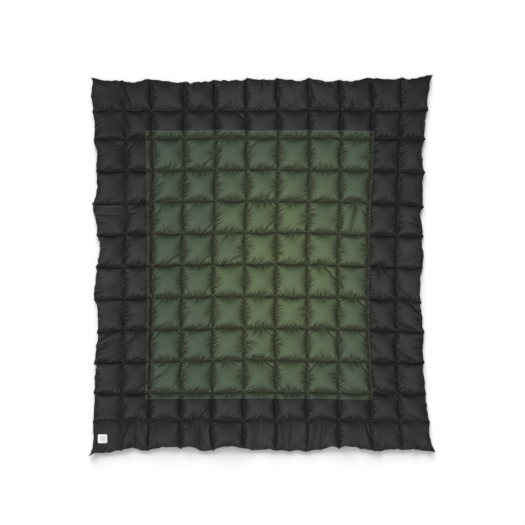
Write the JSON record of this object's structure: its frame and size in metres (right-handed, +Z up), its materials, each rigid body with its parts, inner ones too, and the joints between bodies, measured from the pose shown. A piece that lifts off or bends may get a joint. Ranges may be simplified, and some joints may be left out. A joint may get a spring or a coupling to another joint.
{
  "type": "camp quilt",
  "caption": "Rectangular sewn-through down quilt, black outside, with a contrasting green panel set in its face; it lies flat and folds in thirds at its seams.",
  "frame": {"origin": "middle of the underside of the quilt as it lies flat and open, on the surface it rests on", "axes": "+Z up out of the face, +Y along the length towards the head end, +X across the width; the label is at the -X, -Y corner"},
  "size_m": [1.7926, 1.965, 0.0438],
  "materials": {
    "black_shell": "satin",
    "green_panel": "satin",
    "black_back": "satin",
    "down": "matte",
    "thread": "satin",
    "label": "matte",
    "label_thread": "matte"
  },
  "bodies": {
    "middle_third": {"face_border_left_middle": "black_shell", "face_border_right_middle": "black_shell", "face_panel_middle": "green_panel", "back_shell_middle": "black_back", "down_fill_row_05": "down", "down_fill_row_06": "down", "down_fill_row_07": "down", "down_fill_row_08": "down", "quilting_thread_middle": "thread", "edge_thread_left": "thread", "edge_thread_right": "thread"},
    "head_third": {"face_border_head": "black_shell", "face_border_left_head": "black_shell", "face_border_right_head": "black_shell", "face_panel_head": "green_panel", "back_shell_head": "black_back", "down_fill_row_01": "down", "down_fill_row_02": "down", "down_fill_row_03": "down", "down_fill_row_04": "down", "quilting_thread_head": "thread", "edge_thread_head": "thread"},
    "foot_third": {"face_border_foot": "black_shell", "face_border_left_foot": "black_shell", "face_border_right_foot": "black_shell", "face_panel_foot": "green_panel", "back_shell_foot": "black_back", "down_fill_row_09": "down", "down_fill_row_10": "down", "down_fill_row_11": "down", "down_fill_row_12": "down", "quilting_thread_foot": "thread", "edge_thread_foot": "thread", "label_patch": "label", "label_thread": "label_thread"}
  },
  "joints": [
    {"name": "head_fold", "type": "hinge", "parent": "middle_third", "child": "head_third", "pos_m": [0, 0.3175, 0.073], "axis": [1, 0, 0], "range_deg": [0, 179]},
    {"name": "foot_fold", "type": "hinge", "parent": "middle_third", "child": "foot_third", "pos_m": [0, -0.3385, 0.047], "axis": [-1, 0, 0], "range_deg": [0, 179]}
  ]
}
